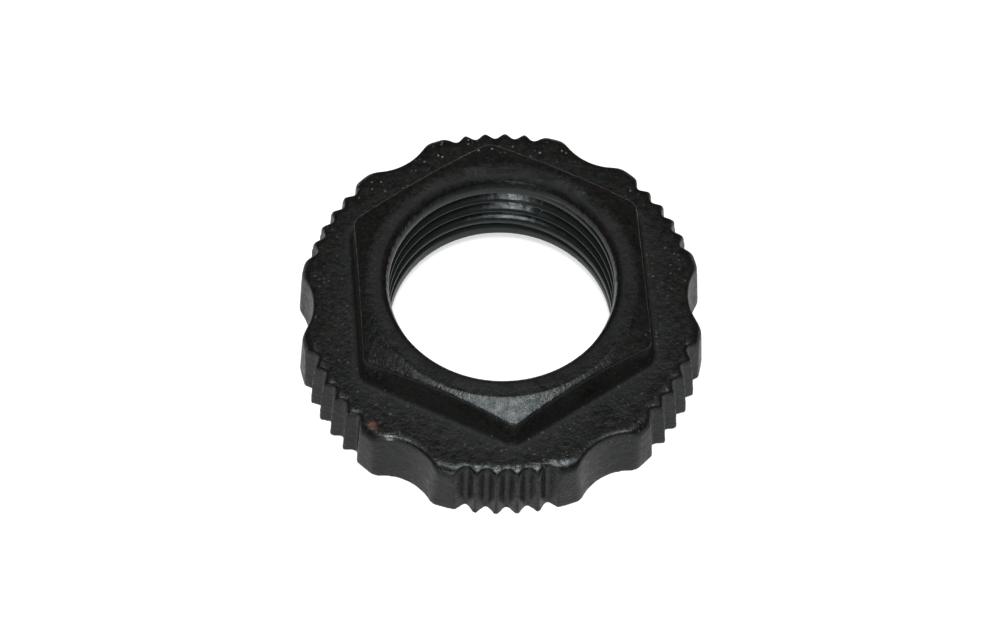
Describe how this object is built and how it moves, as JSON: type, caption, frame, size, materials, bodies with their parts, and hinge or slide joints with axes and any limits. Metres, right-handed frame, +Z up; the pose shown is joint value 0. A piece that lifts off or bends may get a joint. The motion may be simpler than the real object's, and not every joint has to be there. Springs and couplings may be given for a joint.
{
  "type": "knurled thumb nut",
  "caption": "Round black thumb nut with a scalloped, grooved grip rim, a raised hexagon on top and a threaded hole right through.",
  "frame": {"origin": "centre of the flat underside, on the thread's axis", "axes": "+Z up along the thread's axis towards the hexagon; -Y towards the middle of one group of grip grooves"},
  "size_m": [0.0332, 0.0338, 0.0093],
  "materials": {
    "black_coating": "satin black coating over a rough casting, glossier in the thread"
  },
  "bodies": {
    "root": {"nut_body": "black_coating"}
  },
  "joints": []
}
